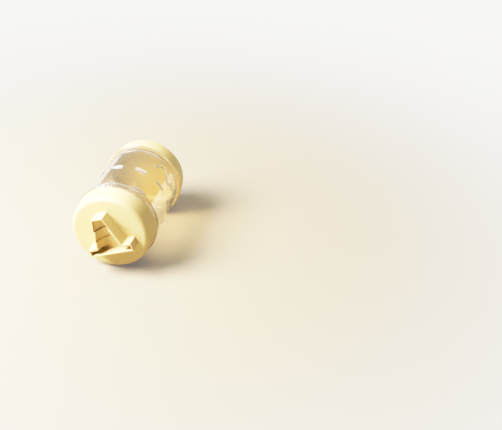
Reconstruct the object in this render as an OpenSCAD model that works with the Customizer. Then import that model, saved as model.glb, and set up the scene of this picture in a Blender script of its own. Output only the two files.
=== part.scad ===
// Toy road roller: a clear drum with a raised road pattern, closed at both
// ends by push-on caps. Each cap's end face carries a mould for loose sand.
// The drum's axis lies along Y, the front cap is at -Y and +Z is up.

/* [Drum] */
// Length of the drum between the rims of the caps
drum_length = 72; // [60:1:90]
// Outer diameter of the drum's wall
drum_diameter = 67.4; // [60:0.2:68]
// Thickness of the drum's wall
drum_wall = 1.8; // [1.4:0.1:2.4]
// Diameter of the rolling flanges at the drum's ends
flange_diameter = 71.8; // [71:0.2:76]
// Thickness of each flange
flange_thickness = 1.8; // [1.2:0.1:3]
// Length of the necks that hold the caps
neck_length = 9; // [6:0.5:11]

/* [Road pattern] */
// Height of the pattern above the drum's wall
relief = 1; // [0.5:0.1:1.2]
// Distance from a flange to the road's edge line
edge_line_inset = 4.2; // [3:0.1:8]
// Width of the road's edge lines
edge_line_width = 1.6; // [1:0.1:2.5]
// Number of dashes in the centre line
dash_count = 10; // [6:1:12]
// Width of a centre dash
dash_width = 3; // [2:0.1:5]
// Part of each step round the drum that its dash fills
dash_fill = 0.48; // [0.3:0.02:0.7]
// Width of the lines of the crack in the road
crack_width = 1.3; // [0.8:0.1:2]

/* [Caps] */
// Outer diameter of a cap at its rim
cap_diameter = 70; // [69:0.2:70.8]
// Depth of a cap from its rim to its end face
cap_depth = 17; // [15:0.5:22]
// Diameter of a cap where its rounded shoulder begins
shoulder_diameter = 67; // [66:0.2:69]
// Radius of the rounded shoulder
shoulder_radius = 4; // [2:0.2:5]
// Thickness of a cap's end wall
cap_floor = 2; // [1.6:0.1:3]

/* [Moulds] */
// How far a mould stands out from its cap
mould_height = 11; // [8:0.5:14]
// Thickness of a mould's cutting walls
mould_wall = 1.3; // [1:0.1:1.8]
// Turn of the front mould about the drum's axis
mould_turn = -18.5; // [-180:0.5:180]
// Width of the traffic cone's base
cone_base_width = 40; // [36:0.5:44]
// Height of the traffic cone's base
cone_base_height = 7.5; // [6:0.5:9]
// Overall height of the traffic cone
cone_height = 34.4; // [31:0.2:37]
// Depth of the cone's hollow at its middle
cone_hollow = 9.2; // [6:0.1:10]
// Radius of the circle that touches the triangular sign's sides
sign_inradius = 13.6; // [11:0.2:15]
// Radius of the sign's corners
sign_corner = 4; // [2:0.5:6]

/* [Hidden] */
$fn = 96;

cap_colour = [0.93, 0.85, 0.62];
drum_colour = [0.80, 0.80, 0.76, 0.45];

half_length = drum_length / 2;
drum_r = drum_diameter / 2;
bore_r = drum_r - drum_wall;
flange_r = flange_diameter / 2;
relief_r = drum_r + relief;

// The neck stands inside the cap's straight mouth, and only its snap bead
// comes close to the cap.
cap_r = cap_diameter / 2;
mouth_r = cap_r - 2;
mouth_depth = 5;
running_gap = 0.05;
bead_r = mouth_r - running_gap;
bead_width = 1.6;
bead_offset = 2.6;
neck_r = 31.4;
neck_bore_r = 29.9;
lead_in = 0.6;

face_y = half_length + cap_depth;
shoulder_r = shoulder_diameter / 2;
seat_r = shoulder_r - 1.7;
inner_corner = 2.5;

// The crack: where it runs, as angles round the drum from the top and
// distances along the drum from its middle.
crack_main = [[33, 17.5], [39, 18], [42, 22], [50, 22], [56, 18.5], [62, 14.5], [66, 11.5]];
crack_tail = [[66, 11.5], [69, 15], [76, 14.5], [81, 16], [93, 15.5]];
crack_fork = [[76, 14.5], [73.5, 19]];
first_dash = 12;
patch_dash_angle = 26;
patch_dash_span = 20;
patch_dash_y = -25.5;
patch_dash_width = 1.8;

cone_centre_w = 1;
cone_foot_v = -13.9;
cone_foot_half = 12.2;
cone_top_half = 5.3;
cone_top_wall = 1;
slot_height = 4;
slot_depth = 9.5;

// The flared bands of the cone's hollow: the levels of each band's foot and
// head, then its half widths there.
band_foot = mould_wall + slot_height;
band_low = cone_height * 0.39;
band_high = cone_height * 0.67;
cone_bands = [
    [band_foot, band_low, 10.9, 8.5],
    [band_low, band_high, 9.5, 5.8],
    [band_high, cone_height - cone_top_wall, 7.3, 4.2]
];

sign_foot_v = -2;
sign_panel_depth = 7;
sign_channel_depth = 9;
sign_channel_width = 3.4;
picture_height = 2.4;

// Turns a shape drawn round +Z so that its axis lies along +Y.
module along_y() {
    rotate([-90, 0, 0]) children();
}

// Places a shape drawn flat at the end of the roller: its X stays across,
// its Y becomes up and its Z points out of the end.
module on_front(turn) {
    translate([0, -face_y, 0]) rotate([0, turn, 0]) rotate([90, 0, 0]) children();
}
module on_rear() {
    rotate([0, 0, 180]) on_front(0) children();
}

// ---- drum ----

module drum_half_profile() {
    rim_r = flange_r - flange_thickness / 2;
    edge_line_y = half_length - flange_thickness - edge_line_inset;
    bead_y = half_length + bead_offset;
    polygon([
        [bore_r, 0],
        [bore_r, half_length - 2.4],
        [neck_bore_r, half_length - 0.4],
        [neck_bore_r, half_length + neck_length],
        [neck_r - lead_in, half_length + neck_length],
        [neck_r, half_length + neck_length - lead_in],
        [neck_r, bead_y + bead_width / 2],
        [bead_r, bead_y + bead_width / 6],
        [bead_r, bead_y - bead_width / 6],
        [neck_r, bead_y - bead_width / 2],
        [neck_r, half_length],
        [rim_r, half_length],
        [rim_r, half_length - flange_thickness],
        [drum_r, half_length - flange_thickness],
        [drum_r, edge_line_y],
        [relief_r, edge_line_y],
        [relief_r, edge_line_y - edge_line_width],
        [drum_r, edge_line_y - edge_line_width],
        [drum_r, 0]
    ]);
    translate([rim_r, half_length - flange_thickness / 2]) circle(d = flange_thickness);
}

// A bar of the pattern that follows the drum from a start angle.
module curved_bar(start, span, y, width) {
    rotate([0, 0, start - 90]) translate([0, 0, y - width / 2])
        rotate_extrude(angle = span)
            translate([bore_r + drum_wall / 2, 0]) square([relief_r - bore_r - drum_wall / 2, width]);
}

// A corner of the crack, a little wider than its lines.
module crack_corner(angle, y) {
    rotate([0, 0, angle]) translate([0, 0, y]) rotate([90, 0, 0])
        cylinder(h = relief_r + 1, d = crack_width * 1.25);
}

// One straight length of the crack, as a wall that stands out of the drum.
module crack_length(from, to) {
    mean = (from[0] + to[0]) / 2;
    across = (to[0] - from[0]) * PI / 180 * relief_r;
    along = to[1] - from[1];
    rotate([0, 0, mean]) translate([0, 0, (from[1] + to[1]) / 2])
        rotate([90, 0, 0]) rotate([0, 0, atan2(along, across)])
            translate([-norm([across, along]) / 2, -crack_width / 2, 0])
                cube([norm([across, along]), crack_width, relief_r + 1]);
}

module crack_run(points) {
    for (i = [0 : len(points) - 2]) crack_length(points[i], points[i + 1]);
    for (p = points) crack_corner(p[0], p[1]);
}

module relief_band() {
    rotate_extrude() translate([bore_r + drum_wall / 2, -half_length + 8])
        square([relief_r - bore_r - drum_wall / 2, drum_length - 16]);
}

module road_pattern() {
    step = 360 / dash_count;
    for (i = [0 : dash_count - 1])
        curved_bar(first_dash + i * step, step * dash_fill, 0, dash_width);
    curved_bar(patch_dash_angle, patch_dash_span, patch_dash_y, patch_dash_width);
    intersection() {
        relief_band();
        union() {
            crack_run(crack_main);
            crack_run(crack_tail);
            crack_run(crack_fork);
        }
    }
}

module drum() {
    color(drum_colour) along_y() {
        rotate_extrude() {
            drum_half_profile();
            mirror([0, 1]) drum_half_profile();
        }
        road_pattern();
    }
}

// ---- caps ----

// Half section of a cap, with its rim at height 0.
module cap_profile() {
    shoulder_start = cap_depth - shoulder_radius;
    inner_top = cap_depth - cap_floor;
    difference() {
        union() {
            polygon([[0, 0], [cap_r, 0], [shoulder_r, shoulder_start],
                     [shoulder_r - shoulder_radius, shoulder_start],
                     [shoulder_r - shoulder_radius, cap_depth], [0, cap_depth]]);
            translate([shoulder_r - shoulder_radius, shoulder_start]) circle(r = shoulder_radius);
        }
        polygon([[-1, -1], [mouth_r, -1], [mouth_r, mouth_depth],
                 [seat_r, neck_length + 1.5], [seat_r, inner_top - inner_corner],
                 [seat_r - inner_corner, inner_top], [-1, inner_top]]);
    }
}

module cap() {
    translate([0, half_length, 0]) along_y() rotate_extrude()
        intersection() {
            cap_profile();
            square([cap_r, cap_depth]);
        }
}

module front_cap() {
    color(cap_colour) mirror([0, 1, 0]) cap();
}

module rear_cap() {
    color(cap_colour) cap();
}

// ---- traffic cone mould ----

module cone_outline() {
    polygon([[-cone_base_width / 2, 0], [cone_base_width / 2, 0],
             [cone_base_width / 2, cone_base_height], [cone_foot_half, cone_base_height],
             [cone_top_half, cone_height], [-cone_top_half, cone_height],
             [-cone_foot_half, cone_base_height], [-cone_base_width / 2, cone_base_height]]);
}

// One flared band of the cone's hollow
module cone_band(band) {
    translate([0, band[0], mould_height]) rotate([-90, 0, 0])
        cylinder(h = band[1] - band[0], r1 = band[2], r2 = band[3]);
}

module cone_hollow_shape() {
    intersection() {
        translate([-cone_base_width / 2, 0, mould_height - cone_hollow])
            cube([cone_base_width, cone_height, cone_hollow + 1]);
        union() {
            for (band = cone_bands) cone_band(band);
        }
    }
}

module cone_mould() {
    color(cap_colour) on_front(mould_turn) translate([cone_centre_w, cone_foot_v, 0])
        difference() {
            linear_extrude(mould_height) cone_outline();
            cone_hollow_shape();
            translate([-cone_base_width / 2 + mould_wall, mould_wall, mould_height - slot_depth])
                cube([cone_base_width - 2 * mould_wall, slot_height, slot_depth + 1]);
        }
}

// ---- road works sign mould ----

// A triangle with round corners, standing on one side, whose sides touch
// a circle of radius inradius about the origin
module round_triangle(inradius, corner) {
    reach = 2 * (inradius - corner);
    polygon([for (a = [90, 210, 330]) for (t = [-60 : 15 : 60])
        [reach * cos(a) + corner * cos(a + t), reach * sin(a) + corner * sin(a + t)]]);
}

// A shovel leaning over a heap of gravel
module picture() {
    polygon([[0.4, -8.4], [1.8, -5.6], [3.4, -4.4], [5.2, -4], [7, -5.2], [8.6, -8.4]]);
    translate([-2.4, -0.6]) rotate(38) polygon([
        [-2.2, 6.6], [-2.2, 5.2], [-0.7, 5.2], [-0.7, -3.6], [-2, -3.6], [-2, -6.4], [0, -8.6],
        [2, -6.4], [2, -3.6], [0.7, -3.6], [0.7, 5.2], [2.2, 5.2], [2.2, 6.6]]);
}

module sign_mould() {
    floor_height = mould_height - sign_channel_depth;
    panel_height = mould_height - sign_panel_depth;
    color(cap_colour) on_rear() translate([0, sign_foot_v, 0]) {
        linear_extrude(floor_height) round_triangle(sign_inradius, sign_corner);
        linear_extrude(mould_height) difference() {
            round_triangle(sign_inradius, sign_corner);
            round_triangle(sign_inradius - mould_wall, sign_corner - mould_wall);
        }
        linear_extrude(panel_height)
            round_triangle(sign_inradius - mould_wall - sign_channel_width, 1);
        linear_extrude(panel_height + picture_height) picture();
    }
}

drum();
front_cap();
cone_mould();
rear_cap();
sign_mould();
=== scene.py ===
"""Looks for the toy road roller: a clear drum with a raised road pattern, and
two push-on cream caps that carry a traffic-cone mould and a sign mould.

Lengths are in millimetres until a mesh is made, where MM turns them into
metres. The drum's axis lies along Y, the front cap is at -Y and +Z is up.
Angles round the drum are in degrees from the top towards +X.
"""

import math

import bmesh
import bpy
import numpy as np
from mathutils import Matrix, Vector
from mathutils.geometry import tessellate_polygon


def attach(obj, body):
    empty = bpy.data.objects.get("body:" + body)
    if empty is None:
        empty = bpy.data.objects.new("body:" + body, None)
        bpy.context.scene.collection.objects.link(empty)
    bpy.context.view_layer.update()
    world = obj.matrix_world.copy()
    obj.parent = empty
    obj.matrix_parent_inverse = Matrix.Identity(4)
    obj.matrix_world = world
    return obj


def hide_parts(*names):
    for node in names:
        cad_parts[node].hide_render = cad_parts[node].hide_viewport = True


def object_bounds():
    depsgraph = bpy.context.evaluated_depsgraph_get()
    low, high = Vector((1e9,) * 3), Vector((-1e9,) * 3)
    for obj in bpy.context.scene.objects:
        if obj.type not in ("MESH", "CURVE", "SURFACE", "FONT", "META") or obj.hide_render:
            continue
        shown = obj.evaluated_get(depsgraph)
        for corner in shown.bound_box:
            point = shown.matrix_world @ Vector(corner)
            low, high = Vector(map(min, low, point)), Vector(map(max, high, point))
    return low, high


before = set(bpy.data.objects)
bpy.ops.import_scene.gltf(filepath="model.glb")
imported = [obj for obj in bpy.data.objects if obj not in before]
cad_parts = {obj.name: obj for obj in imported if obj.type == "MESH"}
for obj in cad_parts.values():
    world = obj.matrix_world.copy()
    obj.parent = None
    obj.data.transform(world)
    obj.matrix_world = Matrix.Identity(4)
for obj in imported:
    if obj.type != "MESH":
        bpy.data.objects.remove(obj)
cad_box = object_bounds()

MM = 0.001
SMOOTH_ANGLE = 35  # edges that turn by more than this many degrees stay sharp

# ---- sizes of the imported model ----

HALF_DRUM = 36.0
DRUM_R = 33.7
BORE_R = 31.9
FLANGE_R = 35.89
FLANGE_THICK = 1.8
NECK_R = 31.4
NECK_BORE_R = 29.9
NECK_END = 45.0
NECK_LEAD_IN = 0.6
BEAD_R = 32.95
BEAD_YS = (37.8, 38.33, 38.87, 39.4)  # the snap bead's foot, its crest and its foot
BORE_STEP = (33.6, 35.6)  # where the bore narrows towards the neck

RELIEF = 1.0
RELIEF_FOOT, RELIEF_RAMP = 0.35, 0.85  # how far outside its sides start, and their run
RELIEF_STEPS = (-0.35, -0.22, -0.10, 0.0, 0.08, 0.16, 0.26, 0.38, 0.50)
MM_PER_DEGREE = math.pi / 180 * (DRUM_R + RELIEF)
EDGE_LINE = (28.4, 30.0)
DASH_COUNT, DASH_START, DASH_SPAN, DASH_WIDTH = 10, 12.0, 17.28, 3.0
PATCH_START, PATCH_SPAN, PATCH_Y, PATCH_WIDTH = 26.0, 20.0, -25.5, 1.8
CRACK_WIDTH = 1.3
CRACK_RUNS = (
    ((33, 17.5), (39, 18), (42, 22), (50, 22), (56, 18.5), (62, 14.5), (66, 11.5)),
    ((66, 11.5), (69, 15), (76, 14.5), (81, 16), (93, 15.5)),
    ((76, 14.5), (73.5, 19)),
)
CRACK_ANGLES, CRACK_YS = (31.0, 95.0), (10.0, 23.6)  # where the drum's points lie close

CAP_R = 35.0
CAP_DEPTH = 17.0
SHOULDER_R = 33.5
SHOULDER_RADIUS = 4.0
MOUTH_R = 33.0
MOUTH_DEPTH = 5
SEAT_R = 31.8
SEAT_START = 10.5
CAP_FLOOR = 2.0
INNER_CORNER = 2.5
FACE_Y = HALF_DRUM + CAP_DEPTH

MOULD_HEIGHT = 11.0
MOULD_WALL = 1.3
MOULD_TURN = -18.5
MOULD_CORNER = 0.5
LIP = 0.3  # radius of the rounded lip of a mould's opening
CONE_CENTRE_W, CONE_FOOT_V = 1.0, -13.9
CONE_BASE_HALF, CONE_BASE_HEIGHT, CONE_HEIGHT = 20.0, 7.5, 34.4
CONE_FOOT_HALF, CONE_TOP_HALF = 12.2, 5.3
CONE_HOLLOW, SLOT_DEPTH, SLOT_HEIGHT = 9.2, 9.5, 4.0
CONE_BANDS = ((5.3, 10.9), (13.416, 8.5), (13.416, 9.5), (23.048, 5.8), (23.048, 7.3),
              (33.4, 4.2))
SIGN_INRADIUS, SIGN_CORNER, SIGN_FOOT_V = 13.6, 4.0, -2.0
SIGN_CHANNEL_WIDTH, SIGN_CHANNEL_DEPTH = 3.4, 9.0
SIGN_PANEL_DEPTH, PICTURE_HEIGHT = 7.0, 2.4
SINK = 0.3  # how far a mould's foot goes into its cap


# ---- outlines and rings ----

def rounded(corners, steps=5, closed=True):
    """Points of an outline whose corners (a, b, radius) are arcs of that radius."""
    points = []
    last = len(corners) - 1
    for i, (a, b, radius) in enumerate(corners):
        corner = Vector((a, b))
        if not radius or (not closed and i in (0, last)):
            points.append(corner)
            continue
        before = (Vector(corners[i - 1][:2]) - corner).normalized()
        after = (Vector(corners[(i + 1) % len(corners)][:2]) - corner).normalized()
        reach = radius * math.tan((math.pi - before.angle(after)) / 2)
        centre = corner + (before + after).normalized() * math.hypot(reach, radius)
        first, final = corner + before * reach - centre, corner + after * reach - centre
        for k in range(steps + 1):
            points.append(centre + first.lerp(final, k / steps).normalized() * radius)
    return points


def grown(loop, distance):
    """A loop that runs anticlockwise, with each side moved out by a distance."""
    out = []
    for i, p in enumerate(loop):
        sides = ((p - loop[i - 1]).normalized(), (loop[(i + 1) % len(loop)] - p).normalized())
        normals = [Vector((s.y, -s.x)) for s in sides]
        middle = normals[0] + normals[1]
        out.append(p + middle * (distance * 2 / max(middle.length_squared, 0.5)))
    return out


class Shell:
    """Collects a mesh from rings and faces, then makes the object."""

    def __init__(self, place=Matrix.Identity(4)):
        self.points, self.faces, self.place = [], [], place

    def ring(self, points):
        start = len(self.points)
        self.points.extend(Vector(p) for p in points)
        return list(range(start, len(self.points)))

    def level(self, loop, height):
        """A ring from a flat loop (across, up) at a height out of the cap."""
        return self.ring((p[0], p[1], height) for p in loop)

    def strip(self, a, b, closed=True):
        count = len(a) if closed else len(a) - 1
        for i in range(count):
            j = (i + 1) % len(a)
            self.faces.append((a[i], a[j], b[j], b[i]))

    def fill(self, outer, holes=(), axes=(0, 1), flip=False):
        """Triangles between an outer ring and its holes, seen along the third axis."""
        loops = [outer, *holes]
        order = [i for loop in loops for i in loop]
        flat = [[Vector((self.points[i][axes[0]], self.points[i][axes[1]], 0)) for i in loop]
                for loop in loops]
        for tri in tessellate_polygon(flat):
            face = [order[k] for k in tri]
            a, b, c = (self.points[i] for i in face)
            normal = (b - a).cross(c - a)
            up = Vector((0, 0, 0))
            up[3 - sum(axes)] = -1 if flip else 1
            if normal.dot(up) < 0:
                face.reverse()
            self.faces.append(tuple(face))

    def make(self, name, body, node, material):
        mesh = bpy.data.meshes.new(name)
        places = [(self.place @ p) * MM for p in self.points]
        mesh.from_pydata(places, [], self.faces)
        solid = bmesh.new()
        solid.from_mesh(mesh)
        bmesh.ops.recalc_face_normals(solid, faces=solid.faces)
        solid.to_mesh(mesh)
        solid.free()
        finish_piece(mesh, name, body, node, material)


def finish_piece(mesh, name, body, node, material):
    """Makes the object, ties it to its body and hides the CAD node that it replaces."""
    mesh.validate()
    for polygon in mesh.polygons:
        polygon.use_smooth = True
    piece = bpy.data.objects.new(name, mesh)
    bpy.context.scene.collection.objects.link(piece)
    mesh.materials.append(material)
    mesh.set_sharp_from_angle(angle=math.radians(SMOOTH_ANGLE))
    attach(piece, body)
    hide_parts(node)


def lathed(name, section, angles, body, node, material, radius_at=None):
    """A section of (y, radius) points turned about the Y axis.

    A section that starts and ends on the axis closes there, and any other
    joins its end to its start. radius_at(angles, y, radius) may change the
    radius of a point for each angle.
    """
    on_axis = [y for y, radius in section if radius == 0]
    section = [point for point in section if point[1] > 0]
    turn = np.radians(np.asarray(angles, float))
    sines, cosines = np.sin(turn), np.cos(turn)
    count, rows = len(turn), len(section)
    points = np.empty((rows, count, 3))
    for i, (y, radius) in enumerate(section):
        radii = np.full(count, radius) if radius_at is None else radius_at(angles, y, radius)
        points[i] = np.stack((radii * sines, np.full(count, y), radii * cosines), 1)
    strips = rows - 1 if on_axis else rows
    row, column = np.meshgrid(np.arange(strips), np.arange(count), indexing="ij")
    next_row, next_column = (row + 1) % rows, (column + 1) % count
    faces = np.stack((row * count + column, row * count + next_column,
                      next_row * count + next_column, next_row * count + column), -1)
    places = points.reshape(-1, 3).tolist() + [(0, y, 0) for y in on_axis]
    faces = faces.reshape(-1, 4).tolist()
    if on_axis:
        centre, last = rows * count, (rows - 1) * count
        for i in range(count):
            j = (i + 1) % count
            faces.append((centre, j, i))
            faces.append((centre + 1, last + i, last + j))
    mesh = bpy.data.meshes.new(name)
    mesh.from_pydata([Vector(place) * MM for place in places], [], faces)
    finish_piece(mesh, name, body, node, material)


# ---- materials ----

CREAM_DARK, CREAM_LIGHT = (0.61, 0.455, 0.192, 1), (0.65, 0.485, 0.206, 1)
CLEAR_TINT = (0.865, 0.825, 0.735, 1)
CLEAR_SHADOW = (0.74, 0.69, 0.58, 1)
HAZE_COLOUR, HAZE_SHARE = (0.38, 0.345, 0.27, 1), 0.09
# Painted highlight: the raised road pattern is given a whiter colour.
RAISED_HIGHLIGHT_COLOUR, RAISED_HIGHLIGHT_SHARE = (0.66, 0.625, 0.53, 1), 0.42
HIGHLIGHT_FADE = (26.5, 31.5)  # where the painted highlight fades out along the drum
HIGHLIGHT_LEAST = 0.15  # what is left of it on the flanges
FLOOR_COLOUR = (0.31, 0.254, 0.150, 1)
FLOOR_FADE = (0.10, 0.62)  # metres over which the floor turns into the backdrop
FLOOR_GLOW = 0.10  # share of the backdrop's light under the roller
BACKDROP = (1.0, 0.975, 0.93, 1)
BACKDROP_STRENGTH = 1.7


def node_tree(name):
    """A new material, its nodes and the function that links them."""
    material = bpy.data.materials.new(name)
    material.use_nodes = True
    return material, material.node_tree.nodes, material.node_tree.links.new


def set_inputs(node, values):
    for name, value in values.items():
        node.inputs[name].default_value = value


def add_node(nodes, kind, **values):
    """A new shader node. In the names of its inputs, _ stands for a space."""
    node = nodes.new("ShaderNode" + kind)
    set_inputs(node, {name.replace("_", " "): value for name, value in values.items()})
    return node


def mix_shaders(nodes, link, share, first, second):
    """The output of a mix of two shaders' outputs, with a share of the second."""
    mix = add_node(nodes, "MixShader")
    for number, output in enumerate((share, first, second)):
        link(output, mix.inputs[number])
    return mix.outputs["Shader"]


def cream_plastic():
    """Satin moulded plastic, a little translucent, with faint uneven colour."""
    material, nodes, link = node_tree("cream_plastic")
    shader = nodes["Principled BSDF"]
    set_inputs(shader, {"Subsurface Weight": 0.06, "Subsurface Radius": (1.0, 0.7, 0.3),
                        "Subsurface Scale": 0.002, "IOR": 1.48})
    place = add_node(nodes, "TexCoord")
    cloud = add_node(nodes, "TexNoise", Scale=45, Detail=4)
    grain = add_node(nodes, "TexNoise", Scale=1400, Detail=3)
    for noise in (cloud, grain):
        link(place.outputs["Object"], noise.inputs["Vector"])
    ramp = add_node(nodes, "ValToRGB")
    for stop, position, colour in zip(ramp.color_ramp.elements, (0.3, 0.7),
                                      (CREAM_DARK, CREAM_LIGHT)):
        stop.position, stop.color = position, colour
    link(cloud.outputs["Fac"], ramp.inputs["Fac"])
    link(ramp.outputs["Color"], shader.inputs["Base Color"])
    gloss = add_node(nodes, "MapRange", To_Min=0.34, To_Max=0.50)
    link(cloud.outputs["Fac"], gloss.inputs["Value"])
    link(gloss.outputs["Result"], shader.inputs["Roughness"])
    bump = add_node(nodes, "Bump", Strength=0.12, Distance=0.0002)
    link(grain.outputs["Fac"], bump.inputs["Height"])
    link(bump.outputs["Normal"], shader.inputs["Normal"])
    return material


def painted_highlight_amount(nodes, link, place):
    """How far the raised pattern is whitened as a painted highlight: fully on the dashes,
    less at the ends.
    """
    spot, flat = add_node(nodes, "SeparateXYZ"), add_node(nodes, "CombineXYZ")
    link(place.outputs["Object"], spot.inputs["Vector"])
    link(spot.outputs["X"], flat.inputs["X"])
    link(spot.outputs["Z"], flat.inputs["Z"])
    radius = add_node(nodes, "VectorMath")
    radius.operation = "LENGTH"
    link(flat.outputs["Vector"], radius.inputs[0])
    raised = add_node(nodes, "MapRange", From_Min=(DRUM_R + 0.2) * MM,
                      From_Max=(DRUM_R + RELIEF) * MM)
    link(radius.outputs["Value"], raised.inputs["Value"])
    along = add_node(nodes, "Math")
    along.operation = "ABSOLUTE"
    link(spot.outputs["Y"], along.inputs[0])
    fade = add_node(nodes, "MapRange", From_Min=HIGHLIGHT_FADE[0] * MM,
                    From_Max=HIGHLIGHT_FADE[1] * MM, To_Min=1, To_Max=HIGHLIGHT_LEAST)
    link(along.outputs["Value"], fade.inputs["Value"])
    painted_highlight = add_node(nodes, "Math")
    painted_highlight.operation = "MULTIPLY"
    link(raised.outputs["Result"], painted_highlight.inputs[0])
    link(fade.outputs["Result"], painted_highlight.inputs[1])
    return painted_highlight.outputs["Value"]


def clear_plastic():
    """Clear plastic with fine scuffs and a slight haze, whitened where raised as a painted
    highlight.
    """
    material, nodes, link = node_tree("clear_drum_plastic")
    shader = nodes["Principled BSDF"]
    set_inputs(shader, {"Base Color": CLEAR_TINT, "Transmission Weight": 1, "IOR": 1.5,
                        "Coat Weight": 0.8, "Coat Roughness": 0.05})
    place = add_node(nodes, "TexCoord")
    scuff = add_node(nodes, "TexNoise", Scale=160, Detail=5)
    link(place.outputs["Object"], scuff.inputs["Vector"])
    gloss = add_node(nodes, "MapRange", To_Min=0.04, To_Max=0.14)
    link(scuff.outputs["Fac"], gloss.inputs["Value"])
    link(gloss.outputs["Result"], shader.inputs["Roughness"])

    # The raised pattern is whitened here: a painted highlight.
    painted_highlight = painted_highlight_amount(nodes, link, place)
    share = add_node(nodes, "MapRange", To_Min=HAZE_SHARE, To_Max=RAISED_HIGHLIGHT_SHARE)
    link(painted_highlight, share.inputs["Value"])
    tint = add_node(nodes, "Mix")
    tint.data_type = "RGBA"
    set_inputs(tint, {"A": HAZE_COLOUR, "B": RAISED_HIGHLIGHT_COLOUR})
    link(painted_highlight, tint.inputs["Factor"])
    haze = add_node(nodes, "BsdfDiffuse")
    link(tint.outputs["Result"], haze.inputs["Color"])
    cloudy = mix_shaders(nodes, link, share.outputs["Result"], shader.outputs["BSDF"],
                         haze.outputs["BSDF"])

    # Light passes straight through to what the drum would shade.
    passing = add_node(nodes, "BsdfTransparent", Color=CLEAR_SHADOW)
    ray = add_node(nodes, "LightPath")
    surface = mix_shaders(nodes, link, ray.outputs["Is Shadow Ray"], cloudy,
                          passing.outputs["BSDF"])
    link(surface, nodes["Material Output"].inputs["Surface"])
    return material


def floor_material():
    """A matt pale floor that runs into an evenly lit backdrop far from the roller."""
    material, nodes, link = node_tree("pale_floor")
    shader = nodes["Principled BSDF"]
    set_inputs(shader, {"Base Color": FLOOR_COLOUR, "Roughness": 0.9})
    place = add_node(nodes, "TexCoord")
    distance = add_node(nodes, "VectorMath")
    distance.operation = "LENGTH"
    link(place.outputs["Object"], distance.inputs[0])
    far = add_node(nodes, "MapRange", From_Min=FLOOR_FADE[0], From_Max=FLOOR_FADE[1],
                   To_Min=FLOOR_GLOW)
    far.interpolation_type = "SMOOTHSTEP"
    link(distance.outputs["Value"], far.inputs["Value"])
    glow = add_node(nodes, "Emission", Color=BACKDROP, Strength=BACKDROP_STRENGTH)
    surface = mix_shaders(nodes, link, far.outputs["Result"], shader.outputs["BSDF"],
                          glow.outputs["Emission"])
    link(surface, nodes["Material Output"].inputs["Surface"])
    return material


CREAM = cream_plastic()
CLEAR = clear_plastic()


# ---- drum ----

BARS = ([(DASH_START + i * 360 / DASH_COUNT, DASH_SPAN, 0, DASH_WIDTH)
         for i in range(DASH_COUNT)]
        + [(PATCH_START, PATCH_SPAN, PATCH_Y, PATCH_WIDTH)])


def relief_height(inside):
    """Share of the relief's height at a distance inside the outline."""
    t = np.clip((inside + RELIEF_FOOT) / RELIEF_RAMP, 0, 1)
    return t * t * t * (t * (6 * t - 15) + 10)


def bar_inside(angles, y, start, span, centre_y, width):
    """How far inside a bar of the pattern each point lies."""
    middle = start + span / 2
    turned = np.abs((np.asarray(angles) - middle + 180) % 360 - 180)
    along = (turned - span / 2) * MM_PER_DEGREE
    across = abs(y - centre_y) - width / 2
    corner = 0.4
    a, b = along + corner, across + corner
    outside = np.hypot(np.maximum(a, 0), max(b, 0)) + np.minimum(np.maximum(a, b), 0) - corner
    return -outside


def crack_inside(angles, y):
    """How far inside the lines of the crack each point lies."""
    nearest = np.full(len(angles), np.inf)
    px, py = np.asarray(angles, float) * MM_PER_DEGREE, y
    for run in CRACK_RUNS:
        for (a0, y0), (a1, y1) in zip(run, run[1:]):
            x0, x1 = a0 * MM_PER_DEGREE, a1 * MM_PER_DEGREE
            dx, dy = x1 - x0, y1 - y0
            t = np.clip(((px - x0) * dx + (py - y0) * dy) / (dx * dx + dy * dy), 0, 1)
            nearest = np.minimum(nearest, np.hypot(px - x0 - t * dx, py - y0 - t * dy))
    return CRACK_WIDTH / 2 - nearest


def drum_radius(angles, y, radius):
    """The radius at each angle, with the dashes, the short mark and the crack."""
    if abs(y) > EDGE_LINE[0] - 0.3 or radius < DRUM_R - 0.01:
        return np.full(len(angles), radius)
    height = np.zeros(len(angles))
    for start, *sizes in BARS:
        height = np.maximum(height, relief_height(bar_inside(angles, y, start, *sizes)))
    if CRACK_YS[0] < y < CRACK_YS[1]:
        height = np.maximum(height, relief_height(crack_inside(angles, y)))
    return radius + RELIEF * height


def merged(values, gap):
    """Sorted values without any that lie closer together than gap."""
    kept = []
    for v in sorted(values):
        if not kept or v - kept[-1] >= gap:
            kept.append(v)
    return kept


def drum_angles():
    """Angles of the drum's columns: close at the crack and at the bars' ends."""
    to_degrees = 180 / math.pi / (DRUM_R + RELIEF)
    fine = list(np.arange(*CRACK_ANGLES, 0.34))
    ends = []
    for start, span, *_ in BARS:
        for step in RELIEF_STEPS:
            ends += [start + step * to_degrees, start + span - step * to_degrees]
    coarse = [a for a in np.arange(0, 360, 2.0)
              if not CRACK_ANGLES[0] - 0.5 < a < CRACK_ANGLES[1] + 0.5
              and all(abs(a - e) > 0.7 for e in ends)]
    ends = [e for e in ends if not CRACK_ANGLES[0] < e < CRACK_ANGLES[1]]
    return merged([a % 360 for a in fine + ends + coarse], 0.08)


def drum_rows():
    """Places along the drum of the pattern's rows of points."""
    rows = list(np.arange(CRACK_YS[0], CRACK_YS[1], 0.2))
    for centre, width in ((0, DASH_WIDTH), (PATCH_Y, PATCH_WIDTH)):
        for step in RELIEF_STEPS:
            rows += [centre - width / 2 + step, centre + width / 2 - step]
    rows += [-20, -14, -8, -4, 4, 7, 26]
    return merged(rows, 0.05)


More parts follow.
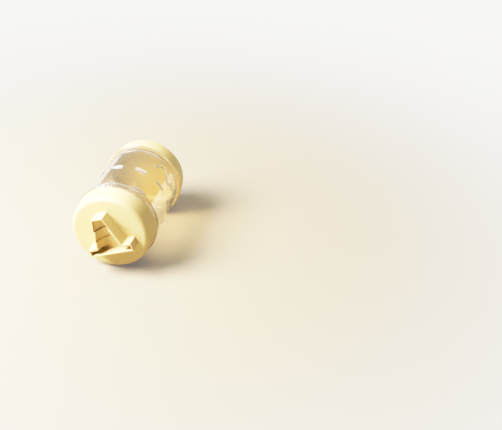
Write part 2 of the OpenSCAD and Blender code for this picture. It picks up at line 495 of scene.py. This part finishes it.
def drum_section():
    """The drum's outline, from the corners (y, radius, rounding) of its rear half."""
    flange_in = HALF_DRUM - FLANGE_THICK
    outer = [
        (EDGE_LINE[0], DRUM_R, 0.15), (EDGE_LINE[0], DRUM_R + RELIEF, 0.3),
        (EDGE_LINE[1], DRUM_R + RELIEF, 0.3), (EDGE_LINE[1], DRUM_R, 0.15),
        (flange_in, DRUM_R, 0.4), (flange_in, FLANGE_R, 0.89), (HALF_DRUM, FLANGE_R, 0.89),
        (HALF_DRUM, NECK_R, 0.3), (BEAD_YS[0], NECK_R, 0.3), (BEAD_YS[1], BEAD_R, 0.3),
        (BEAD_YS[2], BEAD_R, 0.3), (BEAD_YS[3], NECK_R, 0.3),
        (NECK_END - NECK_LEAD_IN, NECK_R, 0.3), (NECK_END, NECK_R - NECK_LEAD_IN, 0.2),
        (NECK_END, NECK_BORE_R, 0.3),
    ]
    inner = [(BORE_STEP[1], NECK_BORE_R, 1.2), (BORE_STEP[0], BORE_R, 1.2)]
    front = [(-y, r, f) for y, r, f in reversed(outer)]
    middle = [(y, DRUM_R, 0) for y in drum_rows()]
    bore = inner + [(0, BORE_R, 0)] + [(-y, r, f) for y, r, f in reversed(inner)]
    return rounded(front + middle + outer + bore, steps=4)


def make_drum():
    lathed("clear_drum", drum_section(), drum_angles(), "drum", "drum",
           CLEAR, drum_radius)


# ---- caps ----

def cap_section(side):
    """A cap's section from the middle of its face to the middle of its floor."""
    inside = CAP_DEPTH - CAP_FLOOR
    corners = [
        (CAP_DEPTH, 0, 0), (CAP_DEPTH, SHOULDER_R - 0.1, SHOULDER_RADIUS),
        (0, CAP_R, 0.5), (0, MOUTH_R + 0.1, 0.4), (MOUTH_DEPTH, MOUTH_R, 1.5),
        (SEAT_START, SEAT_R, 1.5), (inside - INNER_CORNER, SEAT_R, 1.0),
        (inside, SEAT_R - INNER_CORNER, 1.0), (inside, 0, 0),
    ]
    return [(side * (HALF_DRUM + h), r) for h, r in rounded(corners, steps=8)]


def make_cap(name, side, body, node):
    angles = np.arange(0, 360, 2.25)
    if side > 0:
        angles = angles[::-1]
    lathed(name, cap_section(side), angles, body, node, CREAM)


# ---- traffic cone mould ----

def on_front(turn):
    """Matrix that stands a flat (across, up, out) shape on the front cap."""
    return (Matrix.Translation((0, -FACE_Y, 0)) @ Matrix.Rotation(math.radians(turn), 4, "Y")
            @ Matrix.Rotation(math.radians(90), 4, "X"))


def on_rear():
    return Matrix.Rotation(math.pi, 4, "Z") @ on_front(0)


def wall_rings(shell, outline, top):
    """The outer wall of a mould, from its foot in the cap to its rounded rim."""
    levels = ((-SINK, 0.45), (0, 0.45), (0.12, 0.2), (0.45, 0.03), (top - 0.35, 0),
              (top - 0.18, -0.04), (top - 0.05, -0.16), (top, -0.34))
    rings = [shell.level(grown(outline, out), height) for height, out in levels]
    for a, b in zip(rings, rings[1:]):
        shell.strip(a, b)
    shell.fill(rings[0], flip=True)
    return rings[-1]


def lip_rings(shell, opening, top):
    """The rounded lip of an opening, from the rim down to the inner wall."""
    rings = []
    for k in range(4):
        t = math.radians(30 * k)
        rings.append(shell.level(grown(opening, LIP * (1 - math.sin(t))),
                                 top - LIP * (1 - math.cos(t))))
    for a, b in zip(rings, rings[1:]):
        shell.strip(b, a)
    return rings[0], rings[-1]


def hollow_profile():
    """The hollow's half width at each level, from the foot slot to the tip."""
    return rounded([(v, r, 0.42) for v, r in CONE_BANDS], steps=3, closed=False)


def cone_outline():
    """The cone with its base, from its foot up, as a flat loop."""
    base, foot, tip = CONE_BASE_HALF, CONE_FOOT_HALF, CONE_TOP_HALF
    right = [(base, 0, MOULD_CORNER), (base, CONE_BASE_HEIGHT, MOULD_CORNER),
             (foot, CONE_BASE_HEIGHT, 0.7), (tip, CONE_HEIGHT, MOULD_CORNER)]
    left = [(-w, v, r) for w, v, r in reversed(right)]
    return rounded(right + left, steps=4)


def make_cone_mould():
    shell = Shell(on_front(MOULD_TURN) @ Matrix.Translation((CONE_CENTRE_W, CONE_FOOT_V, 0)))
    top = MOULD_HEIGHT
    rim = wall_rings(shell, cone_outline(), top)

    profile = hollow_profile()
    slot_w, slot_low = CONE_BASE_HALF - MOULD_WALL, MOULD_WALL
    slot_top = slot_low + SLOT_HEIGHT
    edge = [Vector((math.sqrt(r * r - LIP * LIP), v)) for v, r in profile]
    opening = ([Vector((-slot_w, slot_low)), Vector((slot_w, slot_low)),
                Vector((slot_w, slot_top))]
               + edge + [Vector((-p.x, p.y)) for p in reversed(edge)]
               + [Vector((-slot_w, slot_top))])
    mouth, wall = lip_rings(shell, opening, top)
    shell.fill(rim, [mouth])

    # The hollow, as arcs from the right edge under to the left edge.
    count, arcs = 36, []
    floor = top - CONE_HOLLOW
    first = 3  # the opening's points before the hollow's right edge
    for k, (v, r) in enumerate(profile):
        start = math.asin(LIP / r)
        inner = []
        for i in range(1, count):
            t = start + (math.pi - 2 * start) * i / count
            inner.append((r * math.cos(t), v, max(top - r * math.sin(t), floor)))
        right, left = wall[first + k], wall[first + 2 * len(profile) - 1 - k]
        arcs.append([right, *shell.ring(inner), left])
    for a, b in zip(arcs, arcs[1:]):
        shell.strip(a, b, closed=False)
    shell.fill(arcs[-1], axes=(0, 2), flip=True)

    # The slot across the foot, with the hollow's arc cut out of its upper wall.
    low_left, low_right, top_right, top_left = wall[0], wall[1], wall[2], wall[-1]
    bottom = top - SLOT_DEPTH
    floor_ring = shell.ring(((-slot_w, slot_low, bottom), (slot_w, slot_low, bottom),
                             (slot_w, slot_top, bottom), (-slot_w, slot_top, bottom)))
    shell.faces += [
        (low_left, low_right, floor_ring[1], floor_ring[0]),
        (low_right, top_right, floor_ring[2], floor_ring[1]),
        (top_left, low_left, floor_ring[0], floor_ring[3]),
        tuple(floor_ring),
    ]
    shell.fill([top_right, *arcs[0], top_left, floor_ring[3], floor_ring[2]],
               axes=(0, 2), flip=True)
    shell.make("cone_sand_mould", "front_cap", "cone_mould", CREAM)


# ---- road works sign mould ----

def round_triangle(inradius, corner, steps=8):
    """A triangle with round corners, whose sides touch a circle of radius inradius."""
    reach = 2 * (inradius - corner)
    points = []
    for middle in (90, 210, 330):
        for k in range(steps + 1):
            t = math.radians(middle - 60 + 120 * k / steps)
            m = math.radians(middle)
            points.append(Vector((reach * math.cos(m) + corner * math.cos(t),
                                  reach * math.sin(m) + corner * math.sin(t))))
    return points


def picture_outlines():
    """A heap of gravel, and a shovel that leans over it."""
    heap = [(0.4, -8.4, 0.3), (8.6, -8.4, 0.3), (7, -5.2, 0.6), (5.2, -4, 0.6),
            (3.4, -4.4, 0.6), (1.8, -5.6, 0.5)]
    shovel = [(2.2, 6.6, 0.4), (-2.2, 6.6, 0.4), (-2.2, 5.2, 0.4), (-0.7, 5.2, 0.3),
              (-0.7, -3.6, 0.3), (-2, -3.6, 0.4), (-2, -6.4, 0.5), (0, -8.6, 0.4),
              (2, -6.4, 0.5), (2, -3.6, 0.4), (0.7, -3.6, 0.3), (0.7, 5.2, 0.3),
              (2.2, 5.2, 0.4)]
    lean = Matrix.Rotation(math.radians(38), 2)
    shovel = [lean @ p + Vector((-2.4, -0.6)) for p in rounded(shovel, steps=3)]
    return [rounded(heap, steps=3), shovel]


def make_sign_mould():
    """A raised rim, a channel inside it and a panel that carries the picture."""
    shell = Shell(on_rear() @ Matrix.Translation((0, SIGN_FOOT_V, 0)))
    top = MOULD_HEIGHT
    rim = wall_rings(shell, round_triangle(SIGN_INRADIUS, SIGN_CORNER), top)
    inner = round_triangle(SIGN_INRADIUS - MOULD_WALL, SIGN_CORNER - MOULD_WALL)
    mouth, wall = lip_rings(shell, inner, top)
    shell.fill(rim, [mouth])

    channel, panel = top - SIGN_CHANNEL_DEPTH, top - SIGN_PANEL_DEPTH
    foot = [shell.level(grown(inner, out), height)
            for height, out in ((channel + 0.4, 0), (channel + 0.1, -0.12), (channel, -0.4))]
    for a, b in zip([wall, *foot], foot):
        shell.strip(b, a)
    step = round_triangle(SIGN_INRADIUS - MOULD_WALL - SIGN_CHANNEL_WIDTH, 1)
    step_foot = shell.level(grown(step, 0.15), channel)
    step_rings = [step_foot] + [shell.level(grown(step, out), height) for height, out in (
        (channel + 0.15, 0), (panel - 0.35, 0), (panel - 0.1, -0.1), (panel, -0.35))]
    shell.fill(foot[-1], [step_foot])
    for a, b in zip(step_rings, step_rings[1:]):
        shell.strip(a, b)

    high = panel + PICTURE_HEIGHT
    feet = []
    for outline in picture_outlines():
        rings = [shell.level(grown(outline, out), height) for height, out in (
            (panel, 0.12), (panel + 0.12, 0), (high - 0.2, 0), (high, -0.18))]
        for a, b in zip(rings, rings[1:]):
            shell.strip(a, b)
        shell.fill(rings[-1])
        feet.append(rings[0])
    shell.fill(step_rings[-1], feet)
    shell.make("sign_sand_mould", "rear_cap", "sign_mould", CREAM)


make_drum()
make_cap("front_push_cap", -1, "front_cap", "front_cap")
make_cap("rear_push_cap", 1, "rear_cap", "rear_cap")
make_cone_mould()
make_sign_mould()


# ---- floor, lights, surroundings, camera and tones ----

FLOOR_HALF = 6.0
floor_z = cad_box[0].z
floor_mesh = bpy.data.meshes.new("floor")
floor_mesh.from_pydata([(x * FLOOR_HALF, y * FLOOR_HALF, floor_z)
                        for x, y in ((-1, -1), (1, -1), (1, 1), (-1, 1))], [], [(0, 1, 2, 3)])
floor = bpy.data.objects.new("floor", floor_mesh)
bpy.context.scene.collection.objects.link(floor)
floor_mesh.materials.append(floor_material())


def area_light(name, place, target, size, power, colour):
    light = bpy.data.lights.new(name, "AREA")
    light.shape = "RECTANGLE"
    light.size, light.size_y = size
    light.energy = power
    light.color = colour
    lamp = bpy.data.objects.new(name, light)
    lamp.location = place
    lamp.rotation_euler = (Vector(target) - Vector(place)).to_track_quat("-Z", "Y").to_euler()
    bpy.context.scene.collection.objects.link(lamp)


area_light("key", (-0.50, -0.27, 0.58), (0, -0.02, 0), (0.46, 0.46), 45, (1.0, 0.97, 1.05))
area_light("top", (0.8, 0.9, 3.0), (0, 0.02, 0), (3.0, 3.0), 72, (1.0, 0.98, 0.94))

# The camera sees the even backdrop, and the roller is lit by warm surroundings.
world = bpy.data.worlds.new("studio")
bpy.context.scene.world = world
world.use_nodes = True
world_nodes, world_link = world.node_tree.nodes, world.node_tree.links.new
surroundings = world_nodes["Background"]
set_inputs(surroundings, {"Color": (1.0, 0.80, 0.45, 1), "Strength": 0.03})
backdrop = add_node(world_nodes, "Background", Color=BACKDROP, Strength=BACKDROP_STRENGTH)
seen = add_node(world_nodes, "LightPath")
world_surface = mix_shaders(world_nodes, world_link, seen.outputs["Is Camera Ray"],
                            surroundings.outputs["Background"],
                            backdrop.outputs["Background"])
world_link(world_surface, world_nodes["World Output"].inputs["Surface"])

CAMERA_PLACE = (0.233131, -0.575846, 0.384875)
CAMERA_TILT, CAMERA_TURN = 33.19, 12.2
SENSOR_WIDTH, FOCAL_LENGTH = 36, 58.74
WHITE_LEVEL = 2.4
TONE_CURVE = ((0.08, 0.165), (0.23, 0.54), (0.46, 0.83), (0.72, 0.93))
COMBINED = 3  # the curve that all three colours share
camera_data = bpy.data.cameras.new("camera")
camera_data.sensor_width = SENSOR_WIDTH
camera_data.lens = FOCAL_LENGTH
camera = bpy.data.objects.new("camera", camera_data)
camera.location = CAMERA_PLACE
camera.rotation_euler = (math.radians(90 - CAMERA_TILT), 0, math.radians(CAMERA_TURN))
bpy.context.scene.collection.objects.link(camera)
bpy.context.scene.camera = camera

view = bpy.context.scene.view_settings
view.view_transform = "Standard"
view.use_curve_mapping = True
view.curve_mapping.white_level = [WHITE_LEVEL] * 3
for level, shown in TONE_CURVE:
    view.curve_mapping.curves[COMBINED].points.new(level, shown)
view.curve_mapping.update()
